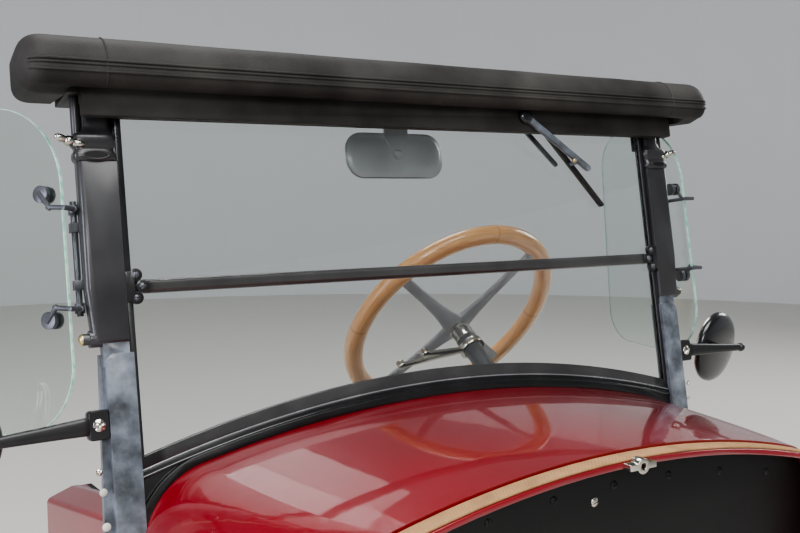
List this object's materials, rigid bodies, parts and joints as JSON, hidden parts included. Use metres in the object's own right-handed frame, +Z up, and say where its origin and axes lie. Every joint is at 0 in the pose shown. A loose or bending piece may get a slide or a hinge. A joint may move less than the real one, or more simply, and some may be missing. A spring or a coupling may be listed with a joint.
{
  "type": "scuttle and windscreen section of a touring car",
  "caption": "Front body section of an open touring car: scuttle, bulkhead, raked two-pane windscreen, header of the folding top, side wings, mirrors, wiper and wood-rimmed steering wheel.",
  "frame": {"origin": "centre of the four body bolts, on the underside of the body bearers", "axes": "+X to the car's left, +Y to the rear, +Z up"},
  "size_m": [1.6342, 0.8802, 1.1627],
  "materials": {
    "red_paint": "deep gloss coach enamel",
    "black_paint": "semi-gloss stove enamel",
    "worn_paint": "worn black enamel with a grey bloom",
    "black_boards": "black painted board",
    "ash": "oiled ash",
    "dash_wood": "varnished mahogany",
    "rim_wood": "varnished honey-coloured wood",
    "spoke_paint": "dark grey enamel on cast metal",
    "dark_steel": "dark oiled steel",
    "nickel": "aged nickel plate",
    "webbing": "woven cotton webbing",
    "leathercloth": "black grained leathercloth",
    "gasket_rubber": "satin black rubber",
    "pane_glass": "clear plate glass",
    "wing_glass": "clear plate glass with a green ground edge",
    "mirror_glass": "silvered glass in a black shell"
  },
  "bodies": {
    "body": {"scuttle_panel": "red_paint", "body_side_right": "red_paint", "side_trim_right": "leathercloth", "body_side_left": "red_paint", "side_trim_left": "leathercloth", "bulkhead": "black_paint", "toe_board": "black_boards", "floor_board": "black_boards", "bearer_front": "ash", "bearer_rear": "ash", "bonnet_ledge": "red_paint", "bonnet_lacing": "webbing", "hinge_socket": "nickel", "instrument_board": "dash_wood", "instruments": "nickel", "upper_glass": "pane_glass", "lower_glass": "pane_glass", "upper_frame": "black_paint", "lower_frame": "black_paint", "mid_rail": "black_paint", "screen_gasket": "gasket_rubber", "stanchion_right": "worn_paint", "upper_post_right": "black_paint", "post_knuckle_right": "black_paint", "stanchion_left": "worn_paint", "upper_post_left": "black_paint", "post_knuckle_left": "black_paint", "header_bow": "black_boards", "header_valance": "black_boards", "header_roll": "leathercloth", "mirror_bracket": "black_paint", "inner_mirror": "mirror_glass", "mirror_arm_right": "black_paint", "mirror_head_right": "black_paint", "mirror_arm_left": "black_paint", "mirror_head_left": "black_paint", "wing_rod_right": "dark_steel", "wing_glass_right": "wing_glass", "wing_rod_left": "dark_steel", "wing_glass_left": "wing_glass", "steering_column": "dark_steel", "column_bracket": "black_paint", "control_levers": "nickel"},
    "steering_wheel": {"wheel_rim": "rim_wood", "wheel_spider": "spoke_paint"},
    "wiper": {"wiper_spindle": "dark_steel", "wiper_arm": "dark_steel", "wiper_blade": "gasket_rubber"}
  },
  "joints": [
    {"name": "steering", "type": "hinge", "parent": "body", "child": "steering_wheel", "pos_m": [0.203, 0.426, 0.692], "axis": [-0.0522, 0.8073, 0.5878], "range_deg": [-495, 495]},
    {"name": "wiper_sweep", "type": "hinge", "parent": "body", "child": "wiper", "pos_m": [0.197, 0.2272, 1.07466], "axis": [0, -0.9833, 0.1822], "range_deg": [-95, 0]}
  ]
}
